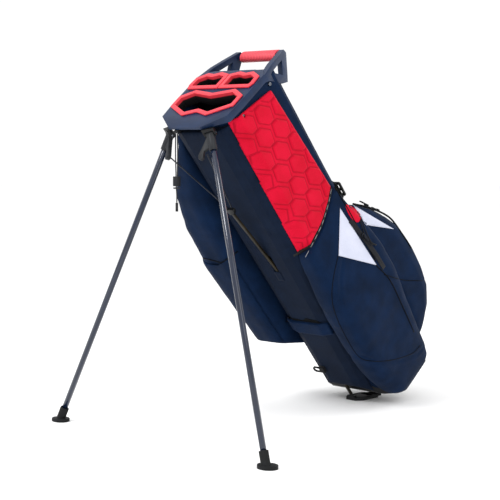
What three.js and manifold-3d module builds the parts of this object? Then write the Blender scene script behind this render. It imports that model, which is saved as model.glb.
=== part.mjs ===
// Golf stand bag, standing on its two deployed legs and its base foot.
// Millimetres, +Z up. The origin is the centre of the base foot's sole, on the floor.
// The legs and the front of the bag are on the -Y side, the ball pocket and the handle on the +Y side.
// Most pieces are drawn upright in the bag's own frame and then leaned as one group:
//   x across the bag, d from its front to its back, h up the bag's axis from the base plane.

import * as THREE from 'three';
import { mergeVertices } from 'three/addons/utils/BufferGeometryUtils.js';
import Module from 'manifold-3d';

const wasm = await Module();
wasm.setup();

// ---------------------------------------------------------------- driving dimensions

const lean = THREE.MathUtils.degToRad(39); // the bag's axis from the vertical
const baseLift = 10.9; // how far the base plane's front line sinks along the lean
const baseSetback = 8.8;
const clearance = 0.35; // between pieces that touch

const tube = { halfWidth: 92, front: -11, back: 163, wall: 3.5, topH: 855.6 };
const panel = { front: -29, thickness: 3, bottomH: 60, topH: 842 };
const cuff = { halfWidth: 98, front: -49, back: 141, bottomH: 856, topH: 872, spigotH: 824 };
const rim = { lip: 4, skirtH: 850, width: 10 };
const handle = { d: 224, h: 847, barRadius: 6.5 };
const padThickness = 6;
const base = { bandHeight: 18, spigotHeight: 30, floor: 12 };

const legPivot = { x: 59, d: -42.5, h: 850 };
const legSole = { x: 308, y: -661 };
const leg = { radius: 6.35, headRadius: 8.5, headLength: 36, socket: 22, footLength: 34 };
const pinRadius = 2.3;

const footHinge = { y: 50, z: 14 };
const rod = { width: 8, thickness: 5, topD: -52, topH: 640, slotD: -29, slotH: 473, channelD: -21.5, endH: 50 };
const wireRadius = 1.5;
const wireFootX = 6;
const wireReach = { down: 40, inward: 15 };

const cord = { x: -26, y: -573.5, radius: 1.25, gap: 5, anchorZ: 624, lockTop: 536, lockBottom: 516, endTop: 482, endZ: 464 };

// ---------------------------------------------------------------- solids

/** A geometry as a solid that can be cut and joined. */
function toSolid(geometry) {
  geometry.deleteAttribute('normal');
  geometry.deleteAttribute('uv');
  const merged = mergeVertices(geometry, 1e-4);
  return new wasm.Manifold(new wasm.Mesh({
    numProp: 3,
    vertProperties: new Float32Array(merged.attributes.position.array),
    triVerts: new Uint32Array(merged.index.array),
  }));
}

/** A solid as a geometry for a mesh. */
function toGeometry(solid) {
  const mesh = solid.getMesh();
  const geometry = new THREE.BufferGeometry();
  geometry.setAttribute('position', new THREE.BufferAttribute(mesh.vertProperties, 3));
  geometry.setIndex(new THREE.BufferAttribute(mesh.triVerts, 1));
  geometry.computeVertexNormals();
  return geometry;
}

const join = (...solids) => solids.reduce((whole, piece) => whole.add(piece));
const cut = (whole, ...pieces) => pieces.reduce((rest, piece) => rest.subtract(piece), whole);
const common = (...solids) => solids.reduce((whole, piece) => whole.intersect(piece));

/** Points [[a, b], ...] as two-dimensional vectors. */
const outline = (pairs) => pairs.map(([a, b]) => new THREE.Vector2(a, b));

/** The right half of a symmetric outline, front to back, and its mirror image, counter-clockwise. */
function mirrored(rightHalf) {
  const right = outline(rightHalf);
  const left = right.filter((point) => point.x !== 0).map((point) => new THREE.Vector2(-point.x, point.y));
  return [...right, ...left.reverse()];
}

/** A counter-clockwise outline moved outwards by an amount, or inwards if it is negative. */
function offset(points, amount) {
  const count = points.length;
  return points.map((point, index) => {
    const arriving = point.clone().sub(points[(index + count - 1) % count]).normalize();
    const leaving = points[(index + 1) % count].clone().sub(point).normalize();
    const normals = new THREE.Vector2(arriving.y + leaving.y, -arriving.x - leaving.x);
    return point.clone().addScaledVector(normals, amount / (1 + arriving.dot(leaving)));
  });
}

/** An outline extruded from one height to another. */
function extrude(points, from, to) {
  const geometry = new THREE.ExtrudeGeometry(new THREE.Shape(points), { depth: to - from, bevelEnabled: false });
  return geometry.translate(0, 0, from);
}

const axisX = new THREE.Vector3(1, 0, 0);
const axisY = new THREE.Vector3(0, 1, 0);
const axisZ = new THREE.Vector3(0, 0, 1);

/** An (x, y) outline extruded up Z. */
const prismZ = (points, from, to) => toSolid(extrude(points, from, to));

/** A (y, z) profile extruded across X. */
function prismX(points, from, to) {
  const turn = new THREE.Matrix4().makeBasis(axisY, axisZ, axisX);
  return toSolid(extrude(points, from, to).applyMatrix4(turn));
}

/** An (x, z) face extruded along Y. */
function prismY(points, from, to) {
  const turn = new THREE.Matrix4().makeBasis(axisX, axisZ, axisY.clone().negate());
  return toSolid(extrude(points, -to, -from).applyMatrix4(turn));
}

/** Points of a circle or an ellipse. */
function ellipse(cx, cy, rx, ry, sides) {
  const turn = (2 * Math.PI) / sides;
  const corner = (_, index) => new THREE.Vector2(cx + rx * Math.cos(index * turn), cy + ry * Math.sin(index * turn));
  return Array.from({ length: sides }, corner);
}

/** A box by its two corners. */
function box(low, high) {
  const size = high.map((value, index) => value - low[index]);
  const geometry = new THREE.BoxGeometry(...size);
  return toSolid(geometry.translate(...low.map((value, index) => value + size[index] / 2)));
}

/** A round bar between two points. */
function bar(start, end, radius, sides = 16) {
  const length = start.distanceTo(end);
  const geometry = new THREE.CylinderGeometry(radius, radius, length, sides);
  const turn = new THREE.Quaternion().setFromUnitVectors(axisY, end.clone().sub(start).normalize());
  const middle = start.clone().add(end).multiplyScalar(0.5);
  return toSolid(geometry.applyQuaternion(turn).translate(middle.x, middle.y, middle.z));
}

/** A closed skin through level rings of (x, d) points, given from the bottom up. */
function loft(rings) {
  const count = rings[0].points.length;
  const positions = rings.flatMap(({ h, points }) => points.flatMap((point) => [point.x, point.y, h]));
  const index = [];
  for (let level = 0; level < rings.length - 1; level += 1) {
    for (let side = 0; side < count; side += 1) {
      const here = level * count + side;
      const next = level * count + ((side + 1) % count);
      index.push(here, next, next + count, here, next + count, here + count);
    }
  }
  const top = (rings.length - 1) * count;
  THREE.ShapeUtils.triangulateShape(rings[0].points, []).forEach(([a, b, c]) => index.push(a, c, b));
  THREE.ShapeUtils.triangulateShape(rings.at(-1).points, []).forEach(([a, b, c]) => index.push(top + a, top + b, top + c));
  const geometry = new THREE.BufferGeometry();
  geometry.setAttribute('position', new THREE.Float32BufferAttribute(positions, 3));
  geometry.setIndex(index);
  return toSolid(geometry);
}

/** A rounded rectangle between two x and two d values, counter-clockwise. */
function roundedBlock(x0, x1, d0, d1, radius, steps = 3) {
  const corners = [[x1 - radius, d0 + radius, -90], [x1 - radius, d1 - radius, 0],
    [x0 + radius, d1 - radius, 90], [x0 + radius, d0 + radius, 180]];
  return corners.flatMap(([x, d, start]) => Array.from({ length: steps + 1 }, (_, step) => {
    const angle = THREE.MathUtils.degToRad(start + (90 * step) / steps);
    return new THREE.Vector2(x + radius * Math.cos(angle), d + radius * Math.sin(angle));
  }));
}

/** A soft pouch: rounded blocks at the stations [h, x0, x1, d0, d1, radius], grown by an amount. */
function pouch(stations, grow = 0) {
  return loft(stations.map(([h, x0, x1, d0, d1, radius]) => (
    { h, points: roundedBlock(x0 - grow, x1 + grow, d0 - grow, d1 + grow, radius + grow) })));
}

// ---------------------------------------------------------------- the tree of groups

const stand_bag = new THREE.Group();
stand_bag.name = 'stand_bag';

/** Everything drawn in the bag's own frame. */
const bag = new THREE.Group();
bag.rotation.x = lean;
bag.position.set(0, baseSetback, -baseLift);
stand_bag.add(bag);
stand_bag.updateMatrixWorld(true);

const intoWorld = (x, d, h) => bag.localToWorld(new THREE.Vector3(x, d, h));
const intoBag = (x, y, z) => bag.worldToLocal(new THREE.Vector3(x, y, z));

const fabricNavy = { color: 0x14294a, roughness: 0.75, metalness: 0 };
const fabricDark = { color: 0x1b2233, roughness: 0.8, metalness: 0 };
const red = { color: 0xd81f36, roughness: 0.6, metalness: 0 };
const slate = { color: 0x3a465c, roughness: 0.45, metalness: 0 };
const black = { color: 0x101114, roughness: 0.55, metalness: 0 };
const greyPlastic = { color: 0x3c3d40, roughness: 0.6, metalness: 0 };
const navyMetal = { color: 0x24406c, roughness: 0.25, metalness: 0.8 };
const steel = { color: 0x8d9096, roughness: 0.35, metalness: 1 };

/** Adds one solid as a named mesh with its own material. */
function add(parent, name, look, solid) {
  const mesh = new THREE.Mesh(toGeometry(solid), new THREE.MeshStandardMaterial(look));
  mesh.name = name;
  parent.add(mesh);
}

// ---------------------------------------------------------------- outlines of the body

const tubeOutline = mirrored([[62, tube.front], [tube.halfWidth, 14], [tube.halfWidth + 1, 150], [84, tube.back]]);
const tubeGrown = (amount) => offset(tubeOutline, amount);

/** The side view above the base's bottom line, which is bevelled to lie level when the bag leans. */
function aboveBase(lift) {
  const bottomLine = [[240, lift], [62, lift], [2, 40 + lift], [-14, 66 + lift], [-60, 140 + lift]];
  return outline([...bottomLine, [-60, 900], [240, 900]]);
}

const tubeKeepOut = prismZ(tubeGrown(clearance), -60, tube.topH + clearance);

/** The front panel, which narrows towards the base, grown by an amount, between two heights. */
function panelBody(grow, from = panel.bottomH, to = panel.topH) {
  const atBase = mirrored([[34, panel.front], [54, -22], [65, -12], [66, 2]]);
  const atTop = mirrored([[44, panel.front], [65, -22], [76, -12], [78, 2]]);
  const ring = (h) => {
    const share = (h - panel.bottomH) / (panel.topH - panel.bottomH);
    return { h, points: offset(atBase.map((point, index) => point.clone().lerp(atTop[index], share)), grow) };
  };
  return loft([ring(from), ring(to)]);
}
const panelKeepOut = panelBody(clearance, -20, 880);

// ---------------------------------------------------------------- tube, base and front panel

function makeTube() {
  const shell = cut(prismZ(tubeOutline, -1, tube.topH), prismZ(tubeGrown(-tube.wall), -2, 900));
  return cut(common(shell, prismX(aboveBase(base.bandHeight + clearance), -120, 120)), ...screwShafts(2.2));
}

function makeBaseCup() {
  const full = prismZ(tubeOutline, -1, 200);
  const inner = prismZ(tubeGrown(-tube.wall - clearance), -1, 200);
  const above = (lift) => prismX(aboveBase(lift), -120, 120);
  const band = cut(common(full, above(0)), above(base.bandHeight));
  const spigot = cut(common(inner, above(base.bandHeight - 1)), above(base.bandHeight + base.spigotHeight));
  const hollow = common(prismZ(tubeGrown(-tube.wall - 4), -1, 300), above(base.floor));
  const cup = cut(join(band, spigot), hollow);
  const hinge = intoBag(0, footHinge.y, footHinge.z);
  const lugProfile = [...outline([[hinge.y + 20, 3], [hinge.y - 12, 16]]), ...hingeNose(hinge)];
  const lugs = [-1, 1].map((side) => prismX(lugProfile, side * 17.5 - 3, side * 17.5 + 3));
  const bore = bar(new THREE.Vector3(-30, hinge.y, hinge.z), new THREE.Vector3(30, hinge.y, hinge.z), pinRadius + clearance);
  return cut(join(cup, ...lugs), bore);
}

/** The round lower end of a lug around the foot's hinge. */
function hingeNose(hinge) {
  return Array.from({ length: 7 }, (_, step) => {
    const angle = THREE.MathUtils.degToRad(200 + step * 25);
    return new THREE.Vector2(hinge.y + 6.5 * Math.cos(angle), hinge.z + 6.5 * Math.sin(angle));
  });
}

function makeFrontPanel() {
  const channel = panelBody(-panel.thickness, panel.bottomH - 1, panel.topH - 4);
  const slot = box([-7, panel.front - 2, rod.slotH - 44], [7, panel.front + 5, rod.slotH + 25]);
  return cut(common(panelBody(0), prismX(aboveBase(2), -120, 120)), channel, slot, tubeKeepOut);
}

function makeFrontSleeve() {
  const band = cut(panelBody(6.5, 263, 297), panelBody(clearance, 262, 298));
  return common(band, box([-60, -60, 260], [60, -14, 300]));
}

function makeWebbingLoop() {
  const strip = outline([[-34, 132], [-54, 132], [-59, 136], [-59, 144], [-54, 148], [-34, 148]]);
  const eye = outline([[-40, 135], [-52, 135], [-56, 138], [-56, 142], [-52, 145], [-40, 145]]);
  const folded = cut(prismY(strip, panel.front - 8, panel.front - 4), prismY(eye, -60, 0));
  const stitchedEnd = box([-38, panel.front - 8, 132], [-26, panel.front - clearance, 148]);
  return join(folded, stitchedEnd);
}

// ---------------------------------------------------------------- cuff, rims and dividers

const frontOpening = mirrored([[0, -2], [35, -13], [92, 17], [92, 52], [58, 72], [0, 60]]);
const backOpening = (side) => {
  const right = [[1, 77], [89, 77], [94, 90], [92, 115], [66, 130], [47, 126], [27, 132], [1, 124]];
  const points = outline(right.map(([x, d]) => [side * x, d]));
  return side > 0 ? points : points.reverse();
};
const openings = { front: frontOpening, left: backOpening(-1), right: backOpening(1) };

const cuffOutline = mirrored([[46, cuff.front], [95, -12], [cuff.halfWidth, 30], [cuff.halfWidth, 122], [86, 136],
  [60, cuff.back]]);

/** The space under the cuff's front, which rises towards its lip. */
const underLip = (drop) => prismX(outline([[-70, 700], [-12, 700], [-12, cuff.bottomH - drop],
  [cuff.front, cuff.bottomH + 10 - drop], [-70, cuff.bottomH + 14 - drop]]), -120, 120);

const screwPlaces = [[1, 24, 842], [1, 127, 844], [-1, 24, 842], [-1, 127, 844]];
const screwShafts = (radius) => screwPlaces.map(([side, d, h]) => (
  bar(new THREE.Vector3(side * 80, d, h), new THREE.Vector3(side * 99, d, h), radius, 10)));

/** One side of the handle: a rail that leaves the cuff's side and a post that comes back to the body. */
function handleArm(side) {
  const plan = outline([[87, 96], [98, 96], [98, 126], [80, 195], [66, 240], [53, 240], [66, 196], [86, 124]]
    .map(([x, d]) => [side * x, d]));
  const profile = outline([[96, 857], [114, 857], [130, 850], [162, 818], [184, 806], [231, 848], [228, 858], [160, 869], [96, 871.9]]);
  const gap = outline([[150, 857], [180, 827], [202, 850]]);
  return cut(common(prismZ(plan, 780, 880), prismX(profile, -120, 120)), prismX(gap, -120, 120), tubeKeepOut);
}

function makeCuff() {
  const plate = cut(prismZ(cuffOutline, cuff.bottomH, cuff.topH), underLip(0));
  const spigot = prismZ(tubeGrown(-tube.wall - clearance), cuff.spigotH, cuff.bottomH + 2);
  const core = prismX(ellipse(handle.d, handle.h, handle.barRadius, handle.barRadius, 12), -60, 60);
  const throats = Object.values(openings).map((points) => prismZ(offset(points, -5.5), rim.skirtH - 1, 880));
  const inside = prismZ(tubeGrown(-tube.wall - 4), cuff.spigotH - 1, cuff.bottomH + 1.5);
  const body = cut(join(plate, spigot), inside);
  return cut(join(body, handleArm(1), handleArm(-1), core), ...throats, ...screwShafts(2.2));
}

function makeRim(points) {
  const lip = prismZ(points, cuff.topH + clearance, cuff.topH + rim.lip);
  const skirt = prismZ(offset(points, -6), rim.skirtH, cuff.topH + 1);
  return cut(join(lip, skirt), prismZ(offset(points, -rim.width), rim.skirtH - 1, 890));
}

function makeScrew(side, d, h) {
  const shank = bar(new THREE.Vector3(side * 84, d, h), new THREE.Vector3(side * 94, d, h), 1.8, 10);
  const head = bar(new THREE.Vector3(side * 93.3, d, h), new THREE.Vector3(side * 96, d, h), 4, 12);
  return join(shank, head);
}

function makeGrip() {
  const outside = prismX(ellipse(handle.d, handle.h, 14, 11, 16), -51, 51);
  const bore = handle.barRadius + clearance;
  return cut(outside, prismX(ellipse(handle.d, handle.h, bore, bore, 12), -70, 70));
}

const dividerTop = rim.skirtH - 4;
const dividerBottom = 60;
const makeCrossDivider = () => prismZ(outline([[-83, 73], [83, 73], [83, 75.5], [-83, 75.5]]), dividerBottom, dividerTop);
const makeBackDivider = () => prismZ(outline([[-1.2, 76], [1.2, 76], [1.2, 151], [-1.2, 151]]), dividerBottom, dividerTop);

// ---------------------------------------------------------------- soft goods

/** A skin on the tube's side and front corner, cut to a side view. */
function skin(thickness, sideView, side) {
  const layer = cut(prismZ(tubeGrown(clearance + thickness), 0, 900), prismZ(tubeGrown(clearance), -1, 901));
  const reach = side > 0 ? prismX(sideView, 60, 120) : prismX(sideView, -120, -60);
  return cut(common(layer, reach), panelKeepOut);
}

const padCurve = new THREE.CatmullRomCurve3([[139, 557], [117, 541], [91, 527], [66, 516], [36, 508], [3, 501], [-40, 493]]
  .map(([d, h]) => new THREE.Vector3(d, h, 0)));
const padEdge = padCurve.getPoints(12).map(({ x, y }) => new THREE.Vector2(x, y));

function makeHipPad() {
  const sideView = [...padEdge, ...outline([[-40, 849], [22, 849], [119, 834]])];
  return cut(skin(padThickness, sideView, 1), ...screwShafts(4.6));
}

function makePadTape() {
  const lower = padEdge.map((point) => point.clone().add(new THREE.Vector2(0, -6))).reverse();
  const upper = padEdge.map((point) => point.clone().add(new THREE.Vector2(0, -clearance)));
  return skin(padThickness + 1, [...upper, ...lower], 1);
}

const leftStations = [
  [130, -140, -73, -40, 100, 24], [210, -160, -73, -56, 124, 26], [250, -166, -73, -62, 134, 28],
  [340, -171, -73, -67, 138, 30], [480, -179, -73, -70, 144, 30], [600, -176, -73, -68, 144, 30],
  [680, -159, -73, -58, 140, 28],
  [745, -124, -73, -42, 134, 18], [795, -98, -73, -20, 128, 8], [818, -94, -73, -10, 124, 5],
];

/** The space above the left pocket's bottom, which lies level when the bag leans. */
const aboveLeftBottom = prismX(outline([[-90, 272], [-50, 234], [7, 182], [60, 150], [160, 140], [160, 900], [-90, 900]]), -220, 0);
const makeLeftPocket = () => cut(common(pouch(leftStations), aboveLeftBottom), tubeKeepOut, panelKeepOut);

function makeLeftSleeve() {
  const below = prismY(outline([[-200, 100], [-80, 100], [-80, 520], [-120, 502], [-200, 506]]), -85, 70);
  const outer = cut(pouch(leftStations, 5), pouch(leftStations, clearance));
  return cut(common(outer, below, aboveLeftBottom), tubeKeepOut, panelKeepOut);
}

const rightStations = [
  [12, 61, 106, 28, 142, 16], [34, 61, 118, 9, 158, 26], [64, 61, 124, -8, 165, 34], [104, 61, 129, -22, 166, 34],
  [150, 61, 135, -29, 164, 32], [240, 61, 141, -36, 168, 30], [300, 61, 142, -38, 174, 30], [370, 61, 137, -34, 175, 28],
  [430, 61, 125, -24, 170, 22], [500, 61, 106, -12, 156, 8], [560, 61, 99, 20, 146, 2],
];
function makeRightPocket() {
  const tapeLine = padEdge.map((point) => point.clone().add(new THREE.Vector2(0, -7))).reverse();
  const aboveTape = prismX([...outline([[-40, 900], [-40, 490]]), ...tapeLine, ...outline([[200, 590], [200, 900]])], 0, 200);
  return cut(common(pouch(rightStations), prismX(aboveBase(0), 0, 200)), tubeKeepOut, panelKeepOut, aboveTape);
}

const ballStations = [
  [50, -66, 78, 150, 186, 14], [66, -76, 86, 150, 220, 30], [100, -84, 94, 150, 262, 40], [140, -86, 98, 150, 286, 42],
  [190, -86, 98, 150, 296, 42], [240, -86, 98, 150, 298, 42], [310, -84, 97, 150, 289, 40], [360, -82, 94, 150, 266, 34],
  [410, -76, 86, 150, 236, 26], [450, -66, 74, 150, 200, 14],
];
function makeBallPocket() {
  return cut(pouch(ballStations), tubeKeepOut, pouch(rightStations, clearance));
}

const zipHeight = 3.2;

/** A coil zip that follows the ball pocket's back edge, standing a little proud of it. */
function makeBallZip() {
  const band = cut(pouch(ballStations, zipHeight), pouch(ballStations, clearance));
  return cut(common(band, box([49, 205, 150], [59, 330, 436])), tubeKeepOut);
}

function makeSideZip() {
  const band = cut(pouch(rightStations, zipHeight), pouch(rightStations, clearance));
  return common(band, box([100, 121, 330], [160, 133, 470]));
}

// ---------------------------------------------------------------- carrying strap on the back

function makeStrapPad(side) {
  const face = roundedBlock(side * 44 - 24, side * 44 + 24, 560, 780, 18);
  return prismY(face, tube.back + 3, tube.back + 13);
}

/** The strap's lower webbing: it runs out from the pad to a short tab on the body's back corner. */
function makeStrapWebbing(side) {
  const right = [[34, 559.6], [66, 530], [66, 498], [84, 498], [84, 536], [58, 559.6]];
  const ribbon = prismY(outline(right.map(([x, h]) => [side * x, h])), tube.back + 6, tube.back + 9);
  const tab = [side * 66, side * 84].sort((a, b) => a - b);
  return join(ribbon, box([tab[0], tube.back + clearance, 498], [tab[1], tube.back + 7, 510]));
}

function makeStrapAnchor(side) {
  const ribbon = outline([[tube.back + clearance, 800], [tube.back + clearance, 812], [tube.back + 5, 812],
    [tube.back + 10, 780.4], [tube.back + 6, 780.4]]);
  return prismX(ribbon, side * 40 - 12, side * 40 + 12);
}

/** A ladder buckle: two bars across a frame, clipped on the webbing. */
function makeBuckle(side) {
  const middle = side * 76;
  const frame = roundedBlock(middle - 14, middle + 14, 500, 538, 4);
  const windows = [[506, 516], [521, 532]].map(([low, high]) => box([middle - 9, 0, low], [middle + 9, 400, high]));
  return cut(prismY(frame, tube.back + 9 + clearance, tube.back + 14), ...windows);
}

// ---------------------------------------------------------------- zip sliders

/** A slider with its pull hanging from it. Its local Y points away from the fabric, its Z up the zip. */
function makeSlider(width, length) {
  const body = box([-width / 2, 0, -length / 2], [width / 2, 4, length / 2]);
  const loop = box([-1.2, 3.5, -2.5], [1.2, 7.4, 2.5]);
  const pull = box([-width * 0.35, 5.2, -length * 2.4], [width * 0.35, 7.2, length * 0.1]);
  const eye = box([-width * 0.18, 4, -length * 2.1], [width * 0.18, 8, -length * 1.2]);
  return cut(join(body, loop, pull), eye);
}

/** A group on the fabric at a place between two stations: its Z runs up the zip and its Y out of the fabric. */
function zipGroup(lower, upper, share, out) {
  const up = upper.clone().sub(lower).normalize();
  const across = new THREE.Vector3().crossVectors(out, up).normalize();
  const away = new THREE.Vector3().crossVectors(up, across).normalize();
  const group = new THREE.Group();
  group.position.copy(lower).lerp(upper, share).addScaledVector(out, zipHeight).addScaledVector(away, clearance);
  group.quaternion.setFromRotationMatrix(new THREE.Matrix4().makeBasis(across, away, up));
  bag.add(group);
  return group;
}

const ballZipLow = new THREE.Vector3(54, 266, 360);
const ballZipHigh = new THREE.Vector3(54, 236, 410);
const sideZipLow = new THREE.Vector3(137, 127, 370);
const sideZipHigh = new THREE.Vector3(125, 127, 430);

// ---------------------------------------------------------------- stand mechanism

const legFrame = (side) => {
  const pivot = new THREE.Vector3(side * legPivot.x, legPivot.d, legPivot.h);
  const sole = intoBag(side * legSole.x, legSole.y, 0);
  const down = sole.clone().sub(pivot);
  const length = down.length();
  down.normalize();
  const hinge = new THREE.Vector3(-down.y, down.x, 0).normalize();
  return { side, pivot, down, hinge, length };
};

/** A group at a leg's pivot: its X is the hinge's axis and its Z the given upward direction. */
function pivotGroup(name, { pivot, hinge }, up) {
  const group = new THREE.Group();
  group.name = name;
  group.position.copy(pivot);
  const across = new THREE.Vector3().crossVectors(up, hinge);
  group.quaternion.setFromRotationMatrix(new THREE.Matrix4().makeBasis(hinge, across, up));
  bag.add(group);
  return group;
}

const hingeBar = (half, radius) => bar(new THREE.Vector3(-half, 0, 0), new THREE.Vector3(half, 0, 0), radius, 14);

function makeBracket(group) {
  const arch = outline([[-9, -9], [9, -9], [9, 20], [-9, 20]]);
  const sideView = outline([[-7, 22], [-6, -3], [-2, -6], [3, -6], [5, 22]]);
  const whole = common(prismY(offset(arch, 3.5), -8, 6), prismX(sideView, -13, 13));
  const room = prismY(outline([[-9, -20], [9, -20], [9, 9.2], [-9, 9.2]]), -20, 20);
  const local = group.matrix.clone().invert();
  const belowCuff = underLip(clearance).transform(local.elements);
  return cut(common(whole, belowCuff), room, hingeBar(30, pinRadius + clearance));
}

function makeLegHead(inner) {
  const barrel = bar(new THREE.Vector3(0, 0, 0), new THREE.Vector3(0, 0, -leg.headLength), leg.headRadius, 18);
  const knuckle = hingeBar(leg.headRadius - 0.3, leg.headRadius);
  const finShape = [[0, -5], [8, -6], [20, -22], [33, -38], [34, -45], [29, -49], [24, -45], [20, -33], [10, -29], [0, -31]];
  const fin = prismY(outline(finShape.map(([x, z]) => [inner * x, z])), -4.5, 4.5);
  const socket = bar(new THREE.Vector3(0, 0, leg.socket - leg.headLength), new THREE.Vector3(0, 0, -60), leg.radius + clearance, 18);
  return cut(join(barrel, knuckle, fin), socket, hingeBar(30, pinRadius + clearance));
}

function makeLegTube(length) {
  const top = leg.socket - leg.headLength - clearance;
  return bar(new THREE.Vector3(0, 0, top), new THREE.Vector3(0, 0, -length + 14), leg.radius, 18);
}

/** The rubber shoe, drawn level on the floor around the leg's end. */
function makeLegFoot({ side, down }) {
  const centre = new THREE.Vector3(side * legSole.x, legSole.y, 0);
  const along = intoWorld(down.x, down.y, down.z).sub(intoWorld(0, 0, 0));
  const point = (distance) => centre.clone().addScaledVector(along, -distance);
  const sole = prismZ(ellipse(centre.x, centre.y + 3, 22, 18, 20), 0, 7);
  const ankle = common(bar(point(-6), point(leg.footLength), 9.5, 18), box([-500, -900, 0], [500, 0, 100]));
  const bore = bar(point(14 - clearance), point(60), leg.radius + clearance, 18);
  return cut(join(sole, ankle), bore);
}

function makeRod() {
  const half = rod.thickness / 2;
  const slope = (rod.slotD - rod.topD) / (rod.topH - rod.slotH);
  const bendH = rod.slotH - (rod.channelD - rod.slotD) / slope;
  const centreLine = [[rod.topD, rod.topH], [rod.channelD, bendH], [rod.channelD, rod.endH]];
  const front = centreLine.map(([d, h]) => [d - half, h]);
  const back = centreLine.map(([d, h]) => [d + half, h]).reverse();
  return prismX(outline([...front, ...back]), -rod.width / 2, rod.width / 2);
}

function makeJunction() {
  const low = rod.topH + clearance;
  const face = outline([[-5, low], [5, low], [10, low + 8], [10, low + 15], [-10, low + 15], [-10, low + 8]]);
  return prismY(face, rod.topD - 4.5, rod.topD + 4.5);
}

const wireBottomH = rod.topH + 16.2;

function makeWire({ side, pivot, down, hinge }) {
  const reach = pivot.clone().addScaledVector(down, wireReach.down).addScaledVector(hinge, -side * wireReach.inward);
  return bar(new THREE.Vector3(side * wireFootX, rod.topD, wireBottomH), reach, wireRadius, 8);
}

function makeBaseFoot() {
  const plan = mirrored([[14, -41], [25, -25], [25, 30], [14, 36], [14, 56]]);
  const window = prismZ(roundedBlock(-15, 15, 10, 31, 5), -1, 10);
  const plate = cut(prismZ(plan, 0, 7), window);
  const toe = box([-9, -42, 6], [9, -32, 11.6]);
  const arm = prismX([...outline([[44, 0], [56, 0]]), ...ellipse(footHinge.y, footHinge.z, 6, 6, 12).slice(0, 7)], -14, 14);
  const bore = bar(new THREE.Vector3(-30, footHinge.y, footHinge.z), new THREE.Vector3(30, footHinge.y, footHinge.z),
    pinRadius + clearance, 14);
  return cut(join(plate, toe, arm), bore);
}

function makeFootPin() {
  const half = 22;
  return bar(new THREE.Vector3(-half, footHinge.y, footHinge.z), new THREE.Vector3(half, footHinge.y, footHinge.z), pinRadius, 14);
}

// ---------------------------------------------------------------- bungee cord

const cordPoint = (shift, z) => new THREE.Vector3(cord.x + shift, cord.y, z);

/** A cord along hand-picked points, as a closed tube of eight sides. */
function makeCord(points) {
  const curve = new THREE.CatmullRomCurve3(points);
  const section = new THREE.Shape(ellipse(0, 0, cord.radius, cord.radius, 8));
  const steps = Math.max(4, Math.round(curve.getLength() / (5 * cord.radius)));
  return toSolid(new THREE.ExtrudeGeometry(section, { extrudePath: curve, steps, bevelEnabled: false }));
}

const strandPoints = (shift) => [cordPoint(shift, cord.anchorZ - clearance), cordPoint(shift * 1.3, cord.anchorZ - 40),
  cordPoint(shift * 0.8, cord.lockTop + clearance)];

const tailTop = cord.lockBottom - 6;
const tailPoints = [cordPoint(0, tailTop), cordPoint(1, (tailTop + cord.endTop) / 2), cordPoint(0, cord.endTop + clearance)];

function makeCordAnchor() {
  const low = box([cord.x - 5, cord.y - 3, cord.anchorZ], [cord.x + 5, cord.y + 9, cord.anchorZ + 40]);
  return common(low.transform(bag.matrixWorld.clone().invert().elements), underLip(clearance));
}

/** The slot that the strands run through, in the lock and in its button. */
const lockSlot = () => box([cord.x - 5.2, cord.y - 2, cord.lockBottom - 20], [cord.x + 5.2, cord.y + 2, cord.lockTop + 1]);

function makeCordLock() {
  const body = box([cord.x - 7, cord.y - 4.5, cord.lockBottom], [cord.x + 7, cord.y + 4.5, cord.lockTop]);
  return cut(body, lockSlot());
}

const lockTravel = 2.5;

function makeLockButton() {
  const top = cord.lockBottom - lockTravel;
  return cut(box([cord.x - 6.5, cord.y - 3.8, top - 3], [cord.x + 6.5, cord.y + 3.8, top]), lockSlot());
}

const makeCordEnd = () => bar(cordPoint(0, cord.endZ), cordPoint(0, cord.endTop), 2.8, 12);

// ---------------------------------------------------------------- assembly

add(bag, 'main_tube', fabricNavy, makeTube());
add(bag, 'base_cup', black, makeBaseCup());
add(bag, 'front_panel', fabricDark, makeFrontPanel());
add(bag, 'front_sleeve', fabricNavy, makeFrontSleeve());
add(bag, 'webbing_loop', black, makeWebbingLoop());
add(bag, 'top_cuff', slate, makeCuff());
add(bag, 'handle_grip', red, makeGrip());
Object.entries(openings).forEach(([name, points]) => add(bag, `opening_rim_${name}`, red, makeRim(points)));
add(bag, 'divider_cross', black, makeCrossDivider());
add(bag, 'divider_back', black, makeBackDivider());
screwPlaces.forEach((place, index) => add(bag, `cuff_screw_${index + 1}`, black, makeScrew(...place)));
add(bag, 'hip_pad', red, makeHipPad());
add(bag, 'pad_tape', black, makePadTape());
add(bag, 'apparel_pocket', fabricNavy, makeLeftPocket());
add(bag, 'sleeve_pocket', fabricNavy, makeLeftSleeve());
add(bag, 'side_pocket', fabricNavy, makeRightPocket());
add(bag, 'ball_pocket', fabricNavy, makeBallPocket());
add(bag, 'ball_zip', black, makeBallZip());
add(bag, 'side_zip', black, makeSideZip());
const upperSlider = zipGroup(ballZipLow, ballZipHigh, 0.86, axisY);
upperSlider.rotateY(Math.PI);
add(upperSlider, 'ball_zip_slider_upper', black, makeSlider(8, 11));
add(zipGroup(ballZipLow, ballZipHigh, 0.5, axisY), 'ball_zip_slider_lower', black, makeSlider(8, 11));
add(zipGroup(sideZipLow, sideZipHigh, 0.92, axisX), 'side_zip_slider', black, makeSlider(8, 12));

[['left', -1], ['right', 1]].forEach(([word, side]) => {
  add(bag, `strap_pad_${word}`, fabricDark, makeStrapPad(side));
  add(bag, `strap_webbing_${word}`, black, makeStrapWebbing(side));
  add(bag, `strap_anchor_${word}`, black, makeStrapAnchor(side));
  add(bag, `strap_buckle_${word}`, black, makeBuckle(side));
});

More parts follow.
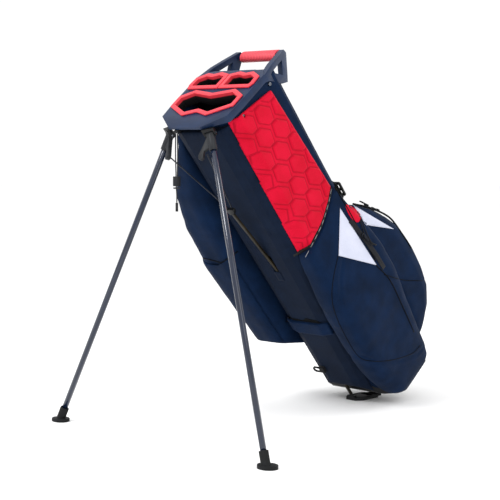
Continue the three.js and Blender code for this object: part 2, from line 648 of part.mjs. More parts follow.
add(bag, 'actuator_rod', black, makeRod());
add(bag, 'rod_junction', black, makeJunction());
[['left', -1], ['right', 1]].forEach(([word, side]) => {
  const frame = legFrame(side);
  const fixed = pivotGroup(`bracket_${word}`, frame, axisZ.clone());
  fixed.updateMatrix();
  const swinging = pivotGroup(`leg_${word}`, frame, frame.down.clone().negate());
  add(fixed, `leg_bracket_${word}`, greyPlastic, makeBracket(fixed));
  add(fixed, `leg_pin_${word}`, steel, hingeBar(12.5, pinRadius));
  add(swinging, `leg_head_${word}`, greyPlastic, makeLegHead(-side));
  add(swinging, `leg_tube_${word}`, navyMetal, makeLegTube(frame.length));
  add(stand_bag, `leg_foot_${word}`, black, makeLegFoot(frame));
  add(bag, `stand_wire_${word}`, steel, makeWire(frame));
});
add(stand_bag, 'base_foot', black, makeBaseFoot());
add(stand_bag, 'foot_pin', steel, makeFootPin());

add(bag, 'cord_anchor', black, makeCordAnchor());
add(stand_bag, 'cord_strand_a', black, makeCord(strandPoints(-cord.gap / 2)));
add(stand_bag, 'cord_strand_b', black, makeCord(strandPoints(cord.gap / 2)));
add(stand_bag, 'cord_lock', black, makeCordLock());
add(stand_bag, 'cord_lock_button', black, makeLockButton());
add(stand_bag, 'cord_tail', black, makeCord(tailPoints));
add(stand_bag, 'cord_end', black, makeCordEnd());

export default stand_bag;
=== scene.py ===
import bpy
import bmesh
from math import radians, sin, cos, pi, hypot, floor
from mathutils import Vector, Matrix, noise
from mathutils.bvhtree import BVHTree


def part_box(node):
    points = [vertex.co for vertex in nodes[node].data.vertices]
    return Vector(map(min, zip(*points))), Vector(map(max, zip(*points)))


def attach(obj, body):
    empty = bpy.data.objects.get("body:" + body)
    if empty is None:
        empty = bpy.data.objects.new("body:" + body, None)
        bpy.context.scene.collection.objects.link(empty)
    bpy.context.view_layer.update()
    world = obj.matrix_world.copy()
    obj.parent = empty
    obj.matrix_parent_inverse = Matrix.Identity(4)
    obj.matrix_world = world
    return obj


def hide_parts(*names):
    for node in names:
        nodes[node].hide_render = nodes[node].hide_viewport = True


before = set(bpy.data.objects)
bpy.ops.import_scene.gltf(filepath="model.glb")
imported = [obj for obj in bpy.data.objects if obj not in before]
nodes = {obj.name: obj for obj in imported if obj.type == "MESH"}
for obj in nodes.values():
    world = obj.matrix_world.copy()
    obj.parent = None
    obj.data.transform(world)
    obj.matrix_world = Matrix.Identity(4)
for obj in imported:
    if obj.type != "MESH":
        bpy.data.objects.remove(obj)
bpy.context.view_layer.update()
scene = bpy.context.scene
scene.view_settings.view_transform = "Standard"

mm = 0.001
# the bag leans back on its legs; rise brings the finishes' heights to the bag's own zero
bagSet = {"tilt": radians(39), "y": 8.8, "z": -10.9, "rise": 14}


def bagPoint(x, d, h):
    lean = bagSet["tilt"]
    return Vector((x, bagSet["y"] + d * cos(lean) - h * sin(lean),
                   bagSet["z"] + d * sin(lean) + h * cos(lean))) * mm


def inBag(point):
    lean = bagSet["tilt"]
    y, z = point.y / mm - bagSet["y"], point.z / mm - bagSet["z"]
    return Vector((point.x / mm, y * cos(lean) + z * sin(lean), z * cos(lean) - y * sin(lean)))


def bagTurn(direction):
    return bagPoint(*direction) - bagPoint(0, 0, 0)


# camera
cameraSet = {"place": (2.0195, -2.4939, 0.621), "forward": (-0.689, 0.720, -0.084), "lens": 98.4}
cameraData = bpy.data.cameras.new("camera")
cameraData.lens = cameraSet["lens"]
cameraData.sensor_width = 36
cameraData.clip_end = 50
camera = bpy.data.objects.new("camera", cameraData)
camera.location = cameraSet["place"]
camera.rotation_euler = Vector(cameraSet["forward"]).to_track_quat("-Z", "Y").to_euler()
scene.collection.objects.link(camera)
scene.camera = camera
print("camera ready")


# finishes
class Value:
    def __init__(self, finish, socket):
        self.finish = finish
        self.socket = socket

    def math(self, operation, *others, flip=False):
        terms = [self, *others]
        if flip:
            terms.reverse()
        made = self.finish.add("ShaderNodeMath", {"operation": operation}, dict(enumerate(terms)))
        return Value(self.finish, made.outputs[0])

    def __add__(self, other):
        return self.math("ADD", other)

    def __sub__(self, other):
        return self.math("SUBTRACT", other)

    def __rsub__(self, other):
        return self.math("SUBTRACT", other, flip=True)

    def __mul__(self, other):
        return self.math("MULTIPLY", other)

    def __truediv__(self, other):
        return self.math("DIVIDE", other)

    def __rtruediv__(self, other):
        return self.math("DIVIDE", other, flip=True)

    __radd__ = __add__
    __rmul__ = __mul__

    def sine(self):
        return self.math("SINE")

    def within(self, low, high):
        return Value(self.finish, self.finish.add(
            "ShaderNodeMapRange", {"interpolation_type": "SMOOTHSTEP"},
            {"Value": self, "From Min": low, "From Max": high}).outputs["Result"])


class Finish:
    def __init__(self, name, slot, **fixed):
        self.material = bpy.data.materials.new(name)
        self.material.use_nodes = True
        self.slot = slot
        self.tree = self.material.node_tree
        self.shader = self.tree.nodes["Principled BSDF"]
        for socket, value in fixed.items():
            self.shader.inputs[socket.replace("_", " ")].default_value = value
        place = self.add("ShaderNodeTexCoord").outputs["Object"]
        turned = self.add("ShaderNodeMapping", {"vector_type": "POINT"},
                          {"Vector": place, "Rotation": (-bagSet["tilt"], 0, 0)})
        self.place = turned.outputs["Vector"]  # x across, y to the back, z up the bag, in metres
        parts = self.add("ShaderNodeSeparateXYZ", {}, {"Vector": self.place})
        self.x, self.d, self.h = (Value(self, parts.outputs[i]) / mm for i in range(3))
        self.h = self.h + bagSet["rise"]

    def add(self, kind, settings=None, inputs=None):
        made = self.tree.nodes.new(kind)
        for key, value in (settings or {}).items():
            setattr(made, key, value)
        for key, value in (inputs or {}).items():
            self.feed(made.inputs[key], value)
        return made

    def feed(self, socket, value):
        if isinstance(value, Value):
            value = value.socket
        if isinstance(value, bpy.types.NodeSocket):
            self.tree.links.new(value, socket)
        else:
            socket.default_value = value

    def noise(self, size, detail=3, stretch=(1, 1, 1)):
        scaled = self.add("ShaderNodeMapping", {}, {"Vector": self.place, "Scale": stretch})
        made = self.add("ShaderNodeTexNoise", {}, {
            "Vector": scaled.outputs["Vector"], "Scale": 1 / (size * mm), "Detail": detail})
        return Value(self, made.outputs["Fac"])

    def mix(self, amount, first, second):
        made = self.add("ShaderNodeMix", {"data_type": "RGBA"}, {0: amount, 6: first, 7: second})
        return made.outputs[2]

    def colour(self, value):
        self.feed(self.shader.inputs["Base Color"], value)

    def rough(self, value):
        self.feed(self.shader.inputs["Roughness"], value)

    def bump(self, height, strength=0.3, distance=0.3):
        made = self.add("ShaderNodeBump", {}, {
            "Height": height, "Strength": strength, "Distance": distance * mm})
        self.feed(self.shader.inputs["Normal"], made.outputs["Normal"])


def rgb(code):
    parts = [int(code[i:i + 2], 16) / 255 for i in (0, 2, 4)]
    return tuple(((c + 0.055) / 1.055) ** 2.4 if c > 0.04045 else c / 12.92 for c in parts) + (1,)


def weave(finish, pitch):
    turn = 2 * pi / pitch
    across, up = (finish.x + finish.d) * turn, finish.h * turn
    return (across.sine() * up.sine()) * 0.5 + 0.5


def makeFabric(name, slot, dark, light, pitch=1.3, sheen=0.02, rough=0.72, strength=0.35,
               grooveShadeTint=None):
    made = Finish(name, slot, Sheen_Weight=sheen, Sheen_Roughness=0.45, Specular_IOR_Level=0.06)
    threads = weave(made, pitch)
    cloud = made.noise(45, 4)
    fuzz = made.noise(2.2, 2)
    tone = (cloud * 0.55 + threads * 0.2 + fuzz * 0.25).within(0.25, 0.75)
    tint = made.mix(tone, rgb(dark), rgb(light))
    # painted shade: wherever the groove attribute is set, the colour darkens towards the last
    # colour given, standing in for the shade inside the hip pad's hex grooves
    if grooveShadeTint:
        grooveShade = made.add("ShaderNodeAttribute", {"attribute_name": "grooveShade"}).outputs["Fac"]
        tint = made.mix(Value(made, grooveShade), tint, rgb(grooveShadeTint))
    made.colour(tint)
    made.rough(fuzz * 0.16 + (rough - 0.08))
    made.bump(threads * 0.7 + fuzz * 0.5, strength, 0.35)
    return made


def makePlastic(name, slot, dark, light, rough=0.42, grain=0.9, strength=0.12, coat=0.0,
                metallic=0.0):
    made = Finish(name, slot, Metallic=metallic, Coat_Weight=coat, Coat_Roughness=0.25,
                  Specular_IOR_Level=0.25)
    grit = made.noise(grain, 3)
    wear = made.noise(38, 5)
    made.colour(made.mix(wear.within(0.35, 0.7), rgb(dark), rgb(light)))
    made.rough(wear * 0.14 + grit * 0.08 + (rough - 0.1))
    made.bump(grit, strength, 0.15)
    return made


def makeWebbing(name, slot, dark, light, pitch=2.2):
    made = Finish(name, slot, Sheen_Weight=0.05, Specular_IOR_Level=0.2)
    ribs = ((made.h + made.d * 0.35) * (2 * pi / pitch)).sine() * 0.5 + 0.5
    fuzz = made.noise(1.6, 2)
    made.colour(made.mix(ribs * 0.6 + fuzz * 0.4, rgb(dark), rgb(light)))
    made.rough(fuzz * 0.15 + 0.65)
    made.bump(ribs + fuzz * 0.3, 0.5, 0.4)
    return made


navyFabric = makeFabric("navy_fabric_weave", "navy_fabric", "041226", "0a2140")
panelFabric = makeFabric("panel_fabric", "dark_fabric", "091221", "111d31", 1.8)
# the third colour, 7d0318, is painted shade for the hex grooves
redFabric = makeFabric("hip_pad_mesh", "red_fabric", "b80622", "d20e32", 1.6, 0.02, 0.62, 0.3,
                       "7d0318")
blackFabric = makeFabric("black_lining", "black_fabric", "040507", "0c0e12", 1.4)
patchFabric = makeFabric("pale_patch", "navy_fabric", "bfc3d6", "d2d5e4", 1.0, 0.05, 0.6, 0.2)
threadFabric = makeFabric("tape_thread", "black_fabric", "77787c", "9fa0a4", 0.8)
blackWebbing = makeWebbing("black_webbing", "black_fabric", "08090b", "17191d")
cuffPlastic = makePlastic("cuff_plastic_satin", "cuff_plastic", "0c1f3c", "13294a", 0.42, 0.8,
                          0.15, 0.03)
blackPlastic = makePlastic("black_plastic_satin", "black_plastic", "08090b", "13151a", 0.42)
greyPlastic = makePlastic("grey_plastic_satin", "grey_plastic", "17181c", "232529", 0.42)
blackRubber = makePlastic("black_rubber_matt", "black_rubber", "060708", "111317", 0.66, 1.4, 0.3)
steel = makePlastic("steel_brushed", "steel", "55585e", "7c8087", 0.3, 0.5, 0.05, 0, 1.0)
darkWire = makePlastic("dark_wire", "steel", "1b1d22", "33363d", 0.35, 0.5, 0.05, 0, 0.8)
rodMetal = makePlastic("rod_bronze", "rod_metal", "211d15", "332d20", 0.38, 0.6, 0.06, 0, 0.7)
zipCloth = makeWebbing("zip_tape", "black_fabric", "06070a", "1c1e24", 1.5)


def makeLegFinish():
    made = Finish("leg_anodised", "leg_aluminium", Metallic=0.1, Coat_Weight=0.7,
                  Coat_Roughness=0.05, Specular_IOR_Level=0.3)
    brushed = made.noise(1.2, 3, (1, 1, 0.03))
    scuff = made.noise(30, 6)
    made.colour(made.mix(brushed * 0.5 + scuff * 0.5, rgb("050b18"), rgb("11213d")))
    made.rough(scuff * 0.12 + 0.16)
    made.bump(brushed, 0.06, 0.1)
    return made


def makeGripFinish():
    made = Finish("grip_rubber", "red_rubber")
    ribs = (made.x * (2 * pi / 4.5)).sine() * 0.5 + 0.5
    grit = made.noise(1.1, 2)
    made.colour(made.mix(ribs.within(0.1, 0.5), rgb("b02333"), rgb("e24452")))
    made.rough(grit * 0.15 + 0.45)
    made.bump(ribs + grit * 0.2, 0.5, 0.7)
    return made


def makeRimFinish():
    made = Finish("rim_rubber", "red_rubber")
    top = made.h.within(867.5, 869)
    grit = made.noise(1.1, 2)
    made.colour(made.mix(top, rgb("0a0b0e"), rgb("d93040")))
    made.rough(grit * 0.12 + 0.42)
    made.bump(grit, 0.2, 0.2)
    return made


legFinish = makeLegFinish()
gripFinish = makeGripFinish()
rimFinish = makeRimFinish()
print("finishes ready")


# helpers for pieces
def mergedCopy(node):
    mesh = bmesh.new()
    mesh.from_mesh(nodes[node].data)
    bmesh.ops.remove_doubles(mesh, verts=mesh.verts, dist=0.002 * mm)
    return mesh


def addPiece(name, mesh, finish, body="bag", replaced=(), lining=None):
    data = bpy.data.meshes.new(name)
    mesh.to_mesh(data)
    mesh.free()
    data.materials.append(finish.material)
    if lining:
        data.materials.append(lining.material)
    for face in data.polygons:
        face.use_smooth = True
    piece = bpy.data.objects.new(name, data)
    scene.collection.objects.link(piece)
    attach(piece, body)
    if replaced:
        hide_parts(*replaced)
    return piece


def softenEdges(piece, width, segments, angle=32):
    bevel = piece.modifiers.new("softened", "BEVEL")
    bevel.width = width * mm
    bevel.segments = segments
    bevel.limit_method = "ANGLE"
    bevel.angle_limit = radians(angle)
    bevel.harden_normals = True
    bevel.use_clamp_overlap = True


def hardCopy(node, finish, body, width, segments=2):
    mesh = mergedCopy(node)
    bmesh.ops.dissolve_limit(mesh, angle_limit=radians(0.6), verts=mesh.verts, edges=mesh.edges)
    piece = addPiece(node + "_made", mesh, finish, body, (node,))
    softenEdges(piece, width, segments)
    return piece


def ripple(point, size, stretch=(1, 1, 1)):
    return noise.noise(Vector([c * s for c, s in zip(point, stretch)]) / size)


def softCopy(node, finish, voxel, push, rounds=3, grooveShade=None):
    source = mergedCopy(node)
    data = bpy.data.meshes.new("start")
    source.to_mesh(data)
    source.free()
    start = bpy.data.objects.new("start", data)
    scene.collection.objects.link(start)
    remesh = start.modifiers.new("remesh", "REMESH")
    remesh.mode = "VOXEL"
    remesh.voxel_size = voxel * mm
    reached = start.evaluated_get(bpy.context.evaluated_depsgraph_get())
    mesh = bmesh.new()
    mesh.from_mesh(reached.to_mesh())
    bpy.data.objects.remove(start)
    bpy.data.meshes.remove(data)
    for turn in range(rounds):
        bmesh.ops.smooth_vert(mesh, verts=mesh.verts, factor=0.5,
                              use_axis_x=True, use_axis_y=True, use_axis_z=True)
    mesh.normal_update()
    lean = Matrix.Rotation(-bagSet["tilt"], 3, "X")
    moves = [(v, v.normal * push(inBag(v.co), lean @ v.normal) * mm) for v in mesh.verts]
    for vert, move in moves:
        vert.co += move
    mesh.normal_update()
    piece = addPiece(node + "_soft", mesh, finish, "bag", (node,))
    # stores, per vertex, how much painted shade the finish lays into the grooves
    if grooveShade:
        depth = piece.data.attributes.new("grooveShade", "FLOAT", "POINT")
        depth.data.foreach_set("value", [grooveShade(inBag(v.co)) for v in piece.data.vertices])
    return piece


def splitLong(mesh, cell, rounds=7):
    for turn in range(rounds):
        long = [e for e in mesh.edges if e.calc_length() > cell * mm]
        if not long:
            break
        bmesh.ops.subdivide_edges(mesh, edges=long, cuts=1)
        bmesh.ops.triangulate(mesh, faces=mesh.faces)


def fabricCopy(node, finish, cell, push, lining=None, inward=None):
    mesh = mergedCopy(node)
    splitLong(mesh, cell)
    lean = Matrix.Rotation(-bagSet["tilt"], 3, "X")
    mesh.normal_update()
    if lining:
        for face in mesh.faces:
            centre = inBag(face.calc_center_median())
            face.material_index = 1 if inward(centre, lean @ face.normal) else 0
    for vert in mesh.verts:
        place = inBag(vert.co)
        away = Vector((place.x, place.y - tubeSet["middle"], 0)).normalized()
        vert.co += bagTurn(away * push(place, away))
    mesh.normal_update()
    return addPiece(node + "_sewn", mesh, finish, "bag", (node,), lining=lining)


def lineDistance(d, h, points):
    best = 1e9
    for (ad, ah), (bd, bh) in zip(points, points[1:]):
        ud, uh = bd - ad, bh - ah
        along = max(0, min(1, ((d - ad) * ud + (h - ah) * uh) / (ud * ud + uh * uh)))
        best = min(best, hypot(d - ad - along * ud, h - ah - along * uh))
    return best


def smoothPath(points, each=6):
    points = [Vector(p) for p in points]
    ends = [points[0] * 2 - points[1], *points, points[-1] * 2 - points[-2]]
    path = []
    for a, b, c, e in zip(ends, ends[1:], ends[2:], ends[3:]):
        for step in range(each):
            t = step / each
            path.append(0.5 * ((2 * b) + (c - a) * t + (2 * a - 5 * b + 4 * c - e) * t * t
                               + (3 * b - a - 3 * c + e) * t ** 3))
    return path + [points[-1]]


def curvePiece(name, path, radius, finish, body="bag", closed=False, asMesh=True):
    data = bpy.data.curves.new(name, "CURVE")
    data.dimensions = "3D"
    data.bevel_depth = radius
    data.bevel_resolution = 3
    data.use_fill_caps = True
    line = data.splines.new("POLY")
    line.points.add(len(path) - 1)
    for spot, place in zip(line.points, path):
        spot.co = (*place, 1)
    line.use_cyclic_u = closed
    piece = bpy.data.objects.new(name, data)
    scene.collection.objects.link(piece)
    if asMesh:
        mesh = bmesh.new()
        mesh.from_mesh(piece.evaluated_get(bpy.context.evaluated_depsgraph_get()).to_mesh())
        bmesh.ops.remove_doubles(mesh, verts=mesh.verts, dist=0.001 * mm)
        bmesh.ops.recalc_face_normals(mesh, faces=mesh.faces)
        bpy.data.objects.remove(piece)
        bpy.data.curves.remove(data)
        return addPiece(name, mesh, finish, body)
    data.materials.append(finish.material)
    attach(piece, body)
    return piece


# elastic cord between the legs
cordSet = {"x": -26, "y": -573.5, "radius": 1.25, "apart": 2.5, "bow": 1.3, "gather": 0.8,
           "top": 623.65, "bowDrop": 40, "lock": 536.35, "tail": 510, "step": 10, "end": 482.35}


def cordPath(shift, low):
    x, y, top = cordSet["x"], cordSet["y"], cordSet["top"]
    bow, gather = x + shift * cordSet["bow"], x + shift * cordSet["gather"]
    tail, step = cordSet["tail"], cordSet["step"]
    spots = [(x + shift, y, top), (bow, y, top - cordSet["bowDrop"]),
             (gather, y, cordSet["lock"]), (gather, y, tail + step)]
    if low < tail:
        spots += [(x, y, tail - step), (x, y, low)]
    return [Vector(p) * mm for p in smoothPath(spots, 6)]


cordFinish = makeWebbing("cord_braid", "black_fabric", "0a0b0e", "24262c", 1.1)
cordPaths = {"cord_long": cordPath(-cordSet["apart"], cordSet["end"]),
             "cord_short": cordPath(cordSet["apart"], cordSet["tail"] + cordSet["step"])}
for cordName, path in cordPaths.items():
    curvePiece(cordName, path, cordSet["radius"] * mm, cordFinish,
                                      asMesh=False)
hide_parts("cord_strand_a", "cord_tail")
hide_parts("cord_strand_b")
cordEnd = hardCopy("cord_end", blackPlastic, "bag", 0.6)
print("cords ready")


# hard pieces
sides = ("left", "right")
hardParts = [
    ("top_cuff", cuffPlastic, "bag", 1.6, 3),
    ("handle_grip", gripFinish, "bag", 1.5, 3),
    *[("opening_rim_" + where, rimFinish, "bag", 1.0, 3) for where in ("front", *sides)],
    ("divider_cross", blackFabric, "bag", 1.0, 2),
    ("divider_back", blackFabric, "bag", 1.0, 2),
    *[("cuff_screw_" + str(number), steel, "bag", 0.5, 2) for number in range(1, 5)],
    ("base_cup", blackPlastic, "bag", 1.6, 3),
    ("base_foot", blackRubber, "foot", 1.2, 2),
    ("foot_pin", steel, "bag", 0.3, 1),
    ("actuator_rod", rodMetal, "actuator", 1.0, 2),
    ("rod_junction", blackPlastic, "actuator", 1.0, 2),
    *[("stand_wire_" + side, darkWire, "wire_" + side, 0.3, 2) for side in sides],
    ("cord_anchor", blackPlastic, "bag", 0.5, 2),
    ("cord_lock", blackPlastic, "lock", 0.8, 2),
    ("cord_lock_button", greyPlastic, "lock_button", 0.5, 2),
    *[("strap_buckle_" + side, blackPlastic, "bag", 0.8, 2) for side in sides],
    *[("strap_webbing_" + side, blackWebbing, "bag", 0.4, 2) for side in sides],
    *[("strap_anchor_" + side, blackWebbing, "bag", 0.6, 2) for side in sides],
    ("webbing_loop", blackWebbing, "bag", 0.6, 2),
    ("ball_zip_slider_upper", darkWire, "slider_upper", 0.4, 2),
    ("ball_zip_slider_lower", darkWire, "slider_lower", 0.4, 2),
    ("side_zip_slider", darkWire, "slider_side", 0.4, 2),
]
for side in sides:
    hardParts += [
        # the leg brackets take the near-black plastic so they read as the shade under the cuff:
        # partly dark plastic, partly painted shade
        ("leg_bracket_" + side, blackPlastic, "bag", 0.8, 2),
        ("leg_pin_" + side, steel, "bag", 0.3, 1),
        ("leg_head_" + side, greyPlastic, "leg_" + side, 1.0, 2),
        ("leg_tube_" + side, legFinish, "leg_" + side, 0.3, 1),
        ("leg_foot_" + side, blackRubber, "leg_" + side, 1.6, 3),
    ]
for part in hardParts:
    hardCopy(*part)
print("hard pieces ready")


# body tube, panel and sleeve
tubeSet = {"middle": 80, "liningMiddle": 75, "cell": 14, "panelCell": 12, "sleeveCell": 7}


def tubeFolds(place, away):
    return 0.9 * ripple(place, 60, (1, 1, 0.5)) + 0.4 * ripple(place, 22)


def facesIn(place, turned):
    return turned.dot(Vector((place.x, place.y - tubeSet["liningMiddle"], 0))) < 0


fabricCopy("main_tube", navyFabric, tubeSet["cell"], tubeFolds, blackFabric, facesIn)
fabricCopy("front_panel", panelFabric, tubeSet["panelCell"],
           lambda place, away: 0.5 * ripple(place, 40, (1, 1, 0.6)))
fabricCopy("front_sleeve", navyFabric, tubeSet["sleeveCell"],
           lambda place, away: 0.6 * ripple(place, 25, (1, 1, 0.4)))


# pockets
seams = {
    "side": [(53, 432), (8, 402), (-21, 370), (-34, 328), (-38, 272), (-35, 212), (-14, 173),
             (41, 118), (107, 72), (142, 64)],
    "sideBack": [(136, 328), (152, 266), (149, 190), (143, 108)],
    "ballTop": [(194, 458), (234, 411), (273, 349), (284, 295), (291, 236)],
    "ballSide": [(164, 271), (189, 236), (213, 206), (269, 151)],
}
foldSet = {"wide": 70, "fine": 28, "fineShare": 0.45, "seamDepth": 1.6, "seamWidth": 5,
           "puff": 0.6, "puffAt": 8}


def pocketFolds(amount, seamLines=(), x=70):
    def push(place, normal):
        move = amount * ripple(place, foldSet["wide"], (1, 1, 0.55))
        move += amount * foldSet["fineShare"] * ripple(place, foldSet["fine"], (1, 0.6, 1))
        for line in seamLines:
            if place.x > x:
                gap = lineDistance(place.y, place.z, line)
                beside = abs(gap - foldSet["puffAt"])
                move -= foldSet["seamDepth"] * max(0, 1 - gap / foldSet["seamWidth"])
                move += foldSet["puff"] * max(0, 1 - beside / foldSet["seamWidth"])
        return move
    return push


sidePocket = softCopy("side_pocket", navyFabric, 3.5, pocketFolds(2.2, [seams["side"]]))
ballPocket = softCopy("ball_pocket", navyFabric, 3.5, pocketFolds(1.6, [seams["ballSide"]]))
apparelPocket = softCopy("apparel_pocket", navyFabric, 4, pocketFolds(3.0))
sleevePocket = softCopy("sleeve_pocket", navyFabric, 4, pocketFolds(2.0))
print("pockets ready")

# hip pad
# the last three keys place the painted shade along the hex grooves and set its strength
hexSet = {"start": (15, 733), "rise": (27.5, 37.5), "fall": (23, -53.5), "height": 2.6,
          "sides": [((0, 1), 24.5), ((0.707, 0.707), 17.5), ((0.98, -0.2), 21.5)],
          "shoulder": (0.6, 3), "between": 0.9, "betweenShoulder": (2.6, 1.8),
          "grooveShade": 0.7, "grooveAt": 1, "grooveWidth": 1.8}


def insideHex(d, h):
    (sd, sh), (ad, ah), (bd, bh) = hexSet["start"], hexSet["rise"], hexSet["fall"]
    pd, ph = d - sd, h - sh
    det = ad * bh - ah * bd
    u, v = floor((pd * bh - ph * bd) / det), floor((ad * ph - ah * pd) / det)
    best = -99
    for i in range(u - 1, u + 3):
        for j in range(v - 1, v + 3):
            cd, ch = pd - i * ad - j * bd, ph - i * ah - j * bh
            gaps = [reach - abs(cd * nd + ch * nh) for (nd, nh), reach in hexSet["sides"]]
            best = max(best, min(gaps))
    return best


def ease(value):
    value = min(1, max(0, value))
    return value * value * (3 - 2 * value)


padEdge = [(-40, 849), (22, 849), (119, 834), (139, 557), (117, 541), (91, 527), (66, 516),
           (36, 508), (3, 501), (-40, 493)]
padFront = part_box("hip_pad")[0][0] / mm
padSet = {"rimFade": (1, 5), "frontFade": (3, 6), "skin": 0.2, "face": 50}


def padFade(place):
    (rimFrom, rimOver), (frontFrom, frontOver) = padSet["rimFade"], padSet["frontFade"]
    rim = lineDistance(place.y, place.z, padEdge)
    return ease((rim - rimFrom) / rimOver) * ease((place.x - padFront - frontFrom) / frontOver)


def padHexes(place, normal):
    gap = insideHex(place.y, place.z)
    (inner, innerOver), (outer, outerOver) = hexSet["shoulder"], hexSet["betweenShoulder"]
    raised = hexSet["height"] * ease((gap + inner) / innerOver)
    raised += hexSet["between"] * ease((-gap - outer) / outerOver)
    return raised * padFade(place) * max(0, normal.x) + padSet["skin"]


# painted shade: how strongly each spot along the hex grooves is darkened
def padGroove(place):
    if place.x <= padSet["face"]:
        return 0
    off = abs(insideHex(place.y, place.z) + hexSet["grooveAt"]) / hexSet["grooveWidth"]
    return hexSet["grooveShade"] * max(0, 1 - off) * padFade(place)


hipPad = softCopy("hip_pad", redFabric, 1.7, padHexes, 2, grooveShade=padGroove)
hardCopy("pad_tape", blackWebbing, "bag", 0.5, 1)
channelSet = {"depth": 0.4, "pitch": 14}  # sewn across the strap pads


def strapChannels(place, normal):
    return channelSet["depth"] * cos(place.z * pi / channelSet["pitch"])


for side in sides:
    pad = softCopy("strap_pad_" + side, panelFabric, 3, strapChannels)
hardCopy("ball_zip", zipCloth, "bag", 0.6, 2)
hardCopy("side_zip", zipCloth, "bag", 0.6, 2)
print("pads ready")


# patches and seams laid on the pockets; a spot whose ray misses is left where it is
def surfaceOf(*pieces):
    trees = []
    for piece in pieces:
        mesh = bmesh.new()
        mesh.from_mesh(piece.data)
        trees.append(BVHTree.FromBMesh(mesh))
        mesh.free()
    return trees


def landing(trees, spot, lift, away=None):
    eye = spot + away if away else Vector(cameraSet["place"])
    ray = (spot - eye).normalized()
    best = None
    for tree in trees:
        hit = tree.ray_cast(eye, ray)
        if hit[0] and (best is None or hit[3] < best[3]):
            best = hit
    if best is None:
        return spot
    return best[0] + best[1] * lift * mm


def patch(name, corners, trees, finish, lift=0.9, cell=5, thick=0.8):
    mesh = bmesh.new()
    mesh.faces.new([mesh.verts.new(corner) for corner in corners])
    splitLong(mesh, cell)
    for vert in mesh.verts:
        vert.co = landing(trees, vert.co.copy(), lift)
    mesh.normal_update()
    if sum(f.normal.x - f.normal.y for f in mesh.faces) < 0:
        bmesh.ops.reverse_faces(mesh, faces=mesh.faces)
    bmesh.ops.solidify(mesh, geom=mesh.faces, thickness=thick * mm)
    return addPiece(name, mesh, finish)


def sideSpots(x, spots):
    return [bagPoint(x, d, h) for d, h in spots]


def flatPath(spots, each):
    return [(p.x, p.y) for p in smoothPath([(*spot, 0) for spot in spots], each)]


rightSide = surfaceOf(sidePocket, ballPocket)
patch("side_patch", sideSpots(110, [(123, 509), (55, 431), (139, 325), (129, 443)]),
      rightSide, patchFabric)
patch("ball_patch", sideSpots(80, [(188, 459), (264, 320), (194, 395)]),
      rightSide, patchFabric)
gusset = flatPath([(154, 494), (170, 470), (180, 440), (168, 430), (156, 440), (150, 466),
                   (154, 494)], 5)[:-1]
patch("red_gusset", sideSpots(95, gusset), rightSide, redFabric)
tapeTree = surfaceOf(bpy.data.objects["pad_tape_made"])
dashSet = {"below": 3.4, "half": 0.9, "points": 4, "every": 5, "lift": 0.2, "cell": 4, "thick": 0.4}
tapeLine = flatPath([(d, h - dashSet["below"]) for d, h in padEdge[3:]], 8)  # under the pad's curve
dashStarts = range(1, len(tapeLine) - dashSet["points"], dashSet["every"])
for index, start in enumerate(dashStarts):
    part = tapeLine[start:start + dashSet["points"]]
    rim = [(d, h + dashSet["half"]) for d, h in part]
    rim += [(d, h - dashSet["half"]) for d, h in reversed(part)]
    patch("tape_dash_" + str(index + 1), sideSpots(99, rim), tapeTree, threadFabric,
          dashSet["lift"], dashSet["cell"], dashSet["thick"])
for seamName, points, x, radius in (
        ("side_seam", seams["side"], 110, 0.8),
        ("side_back_piping", seams["sideBack"], 112, 1.3),
        ("ball_top_piping", seams["ballTop"], 75, 2.2),
        ("ball_seam", seams["ballSide"], 90, 0.8),
        ("zip_edge", [(134, 560), (137, 500), (138, 440), (138, 340)], 115, 1.6)):
    path = [landing(rightSide, spot, 0.3) for spot in sideSpots(x, flatPath(points, 6))]
    curvePiece(seamName, path, radius * mm, blackFabric)
frontTree = surfaceOf(bpy.data.objects["front_panel_sewn"])
# painted shadow: a black fabric sheet laid on the front panel where the fold above the front sleeve
# casts shade
foldShadowSet = {"left": -50, "right": 60, "low": 294, "high": 306, "d": -30, "step": 6}
foldShadowTop = [(x, foldShadowSet["high"] + 4 * sin(x / 11) + 2 * sin(x / 4.7))  # painted shadow's wavy top edge, following a slack, uneven hem
            for x in range(foldShadowSet["right"], foldShadowSet["left"], -foldShadowSet["step"])]
foldShadowLow = [(foldShadowSet["left"], foldShadowSet["low"]), (foldShadowSet["right"], foldShadowSet["low"])]
foldShadowShape = [bagPoint(x, foldShadowSet["d"], h) for x, h in foldShadowLow + foldShadowTop]
patch("sleeve_fold_shadow", foldShadowShape, frontTree, blackFabric, 0.7, 6, 0.5)
slotSet = {"width": 9.5, "low": 424, "high": 452, "d": -29, "proud": 0.9, "thick": 0.6}
lip = [bagPoint(x, slotSet["d"], h) for x, h in (
    (-slotSet["width"], slotSet["low"]), (slotSet["width"], slotSet["low"]),
    (slotSet["width"], slotSet["high"]), (-slotSet["width"], slotSet["high"]))]
lipMesh = bmesh.new()
lipOut = bagTurn((0, -slotSet["proud"], 0))
lipMesh.faces.new([lipMesh.verts.new(corner + lipOut) for corner in lip])
bmesh.ops.subdivide_edges(lipMesh, edges=lipMesh.edges, cuts=4, use_grid_fill=True)
bmesh.ops.solidify(lipMesh, geom=lipMesh.faces, thickness=slotSet["thick"] * mm)
bmesh.ops.recalc_face_normals(lipMesh, faces=lipMesh.faces)
addPiece("slot_lip", lipMesh, panelFabric)
leftTree = surfaceOf(apparelPocket, sleevePocket)
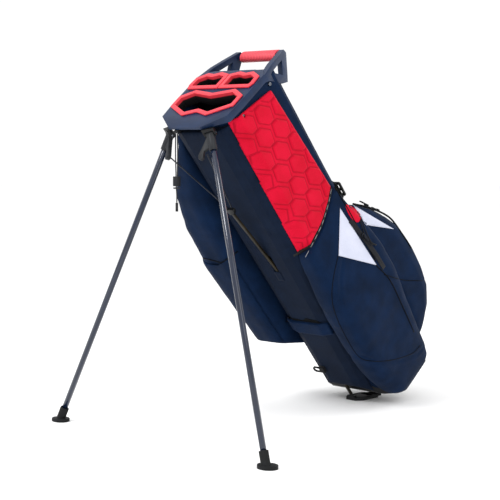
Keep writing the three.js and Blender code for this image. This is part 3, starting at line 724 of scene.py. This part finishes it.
# painted shadow: a thin black cord along the left sleeve pocket's top edge, where the opening falls
# into shade
leftSet = [(-171, 507), (-140, 502), (-116, 499), (-78, 518), (-45, 537)]
sleeveShadowPath = [landing(leftTree, bagPoint(x, -60, h), 0.4) for x, h in flatPath(leftSet, 6)]
curvePiece("sleeve_shadow_line", sleeveShadowPath, 1.4 * mm, blackFabric)
pullSet = {"line": [(155, 470), (151, 444), (145, 414), (146, 386), (159, 368)],
           "x": 115, "radius": 1.3, "lift": 2.2, "apart": 2, "bow": 5}
pullSpots = sideSpots(pullSet["x"], pullSet["line"])
pullPath = smoothPath([landing(rightSide, spot, pullSet["lift"]) for spot in pullSpots], 5)
curvePiece("pull_loop", pullPath, pullSet["radius"] * mm, blackWebbing)
backPath = []
for i, spot in enumerate(pullPath):
    bow = pullSet["bow"] * sin(pi * i / (len(pullPath) - 1))
    backPath.append(spot + bagTurn((pullSet["apart"], bow, 0)))
curvePiece("pull_loop_back", backPath, pullSet["radius"] * mm, blackWebbing)
ringSet = {"radius": 5.5, "wire": 0.9, "spots": 20, "along": 8,
           "down": (0.51, -0.86), "off": (1.6, 1.0)}


def pullRing(name, slider, body):
    low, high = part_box(slider)
    middle = (Vector(low) + Vector(high)) / 2
    (downD, downH), (offD, offH) = ringSet["down"], ringSet["off"]
    ring = []
    for i in range(ringSet["spots"]):
        turn = 2 * pi * i / ringSet["spots"]
        along = ringSet["radius"] * sin(turn) + ringSet["along"]
        across = ringSet["radius"] * cos(turn)
        ring.append(middle + bagTurn((across, offD + downD * along, offH + downH * along)))
    curvePiece(name, ring, ringSet["wire"] * mm, darkWire, body, closed=True)


pullRing("pull_ring_upper", "ball_zip_slider_upper", "slider_upper")
pullRing("pull_ring_lower", "ball_zip_slider_lower", "slider_lower")
backTree = surfaceOf(apparelPocket, sleevePocket, ballPocket)
left, rear = Vector((-0.6, 0, 0)), bagTurn((0, 600, 0))
hiddenSeams = [
    ("apparel_zip", [(-100, 112, 300), (-150, 112, 420), (-150, 112, 560), (-110, 100, 720)],
     left, 2.6, zipCloth),
    ("apparel_edge", [(-100, 60, 230), (-150, 66, 330), (-150, 66, 600), (-110, 50, 740)],
     left, 0.9, blackFabric),
    ("ball_edge_left", [(-60, 262, 130), (-60, 262, 240), (-58, 250, 340), (-52, 230, 430)],
     rear, 0.9, blackFabric),
    ("ball_edge_low", [(-66, 262, 130), (0, 262, 122), (80, 262, 130)], rear, 0.9, blackFabric),
]
for seamName, points, away, radius, finish in hiddenSeams:
    path = [landing(backTree, bagPoint(*p), 0.3, away) for p in smoothPath(points, 8)]
    curvePiece(seamName, path, radius * mm, finish)
print("trim ready")


# floor, light
studioSet = {"floor": 12, "tone": 0.97, "rough": 0.9, "glow": 1.05, "aim": (0, -0.3, 0.4)}
floorMesh = bmesh.new()
bmesh.ops.create_grid(floorMesh, x_segments=1, y_segments=1, size=studioSet["floor"])
floorData = bpy.data.meshes.new("floor")
floorMesh.to_mesh(floorData)
floorMesh.free()
floorPiece = bpy.data.objects.new("floor", floorData)
scene.collection.objects.link(floorPiece)
floorFinish = bpy.data.materials.new("floor_paint")
floorFinish.use_nodes = True
floorShader = floorFinish.node_tree.nodes["Principled BSDF"]
floorShader.inputs["Base Color"].default_value = (*[studioSet["tone"]] * 3, 1)
floorShader.inputs["Roughness"].default_value = studioSet["rough"]
floorData.materials.append(floorFinish)

world = bpy.data.worlds.new("studio")
scene.world = world
world.use_nodes = True
world.node_tree.nodes["Background"].inputs["Color"].default_value = (1, 1, 1, 1)
world.node_tree.nodes["Background"].inputs["Strength"].default_value = studioSet["glow"]

lights = {
    "key": {"place": (-0.5, -2.7, 2.9), "size": 1.3, "power": 70},
    "fill": {"place": (2.6, -1.2, 1.6), "size": 2.0, "power": 16},
    "back": {"place": (0.6, 2.2, 2.4), "size": 2.0, "power": 18},
}
for lightName, lamp in lights.items():
    data = bpy.data.lights.new(lightName, "AREA")
    data.shape = "DISK"
    data.size = lamp["size"]
    data.energy = lamp["power"]
    light = bpy.data.objects.new(lightName, data)
    light.location = lamp["place"]
    towards = Vector(studioSet["aim"]) - light.location
    light.rotation_euler = towards.to_track_quat("-Z", "Y").to_euler()
    scene.collection.objects.link(light)
print("studio ready")
